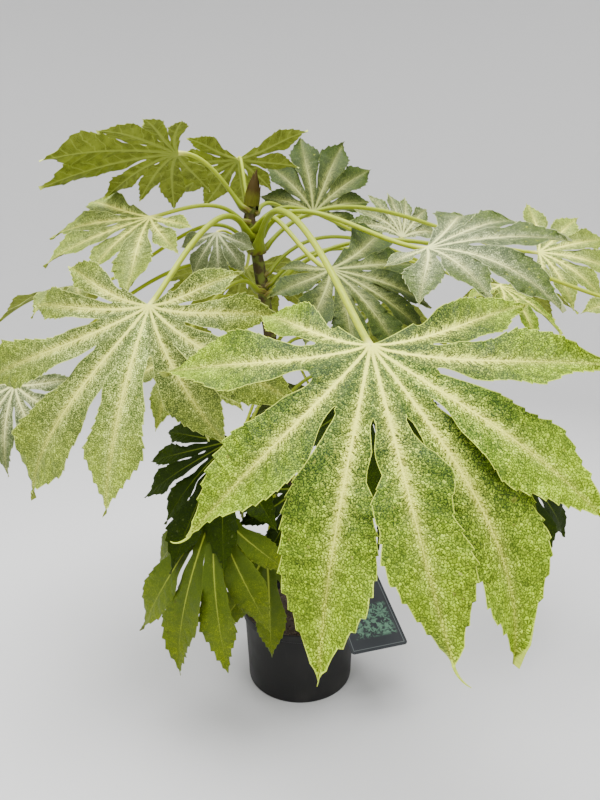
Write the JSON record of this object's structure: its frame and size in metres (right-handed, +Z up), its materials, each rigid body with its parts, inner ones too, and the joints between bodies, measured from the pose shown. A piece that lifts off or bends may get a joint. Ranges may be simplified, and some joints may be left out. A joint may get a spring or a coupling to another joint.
{
  "type": "potted fatsia plant",
  "caption": "Potted house plant with one leaning stem, long arching petioles and large hand-shaped net-veined leaves, in a round dark nursery pot with compost and a slate card label.",
  "frame": {"origin": "middle of the pot's flat underside", "axes": "+Z up along the pot's axis; the largest front leaf is towards -Y and the long right-hand petioles towards +X"},
  "size_m": [0.9252, 0.8471, 0.8052],
  "materials": {
    "pot_plastic": "satin",
    "compost": "matte",
    "stem_bark": "matte",
    "bud_scales": "satin",
    "label_card": "satin",
    "leaf_netted": "satin",
    "leaf_green": "satin"
  },
  "bodies": {
    "root": {"pot": "pot_plastic", "compost": "compost", "stem": "stem_bark", "growing_tip": "bud_scales", "label": "label_card", "leaf_front": "leaf_netted", "leaf_left": "leaf_netted", "leaf_left_high": "leaf_netted", "leaf_top_left": "leaf_netted", "leaf_top_back": "leaf_netted", "leaf_back_right": "leaf_netted", "leaf_right_low": "leaf_netted", "leaf_right": "leaf_netted", "leaf_right_back": "leaf_netted", "leaf_far_right": "leaf_netted", "leaf_far_right_low": "leaf_netted", "leaf_far_right_back": "leaf_netted", "leaf_young_front": "leaf_netted", "leaf_left_back": "leaf_netted", "leaf_far_left": "leaf_netted", "leaf_left_under": "leaf_netted", "leaf_under_right": "leaf_netted", "leaf_back": "leaf_netted", "leaf_back_far_right": "leaf_netted", "leaf_back_left": "leaf_netted", "leaf_dark_left": "leaf_green", "leaf_hanging_left": "leaf_green", "leaf_hanging_mid": "leaf_green", "leaf_dark_mid": "leaf_green", "leaf_dark_side": "leaf_green", "leaf_dark_front": "leaf_green", "leaf_dark_right": "leaf_green", "leaf_back_low": "leaf_green", "leaf_side_low": "leaf_green", "leaf_back_hanging": "leaf_green", "leaf_front_right": "leaf_green"}
  },
  "joints": []
}
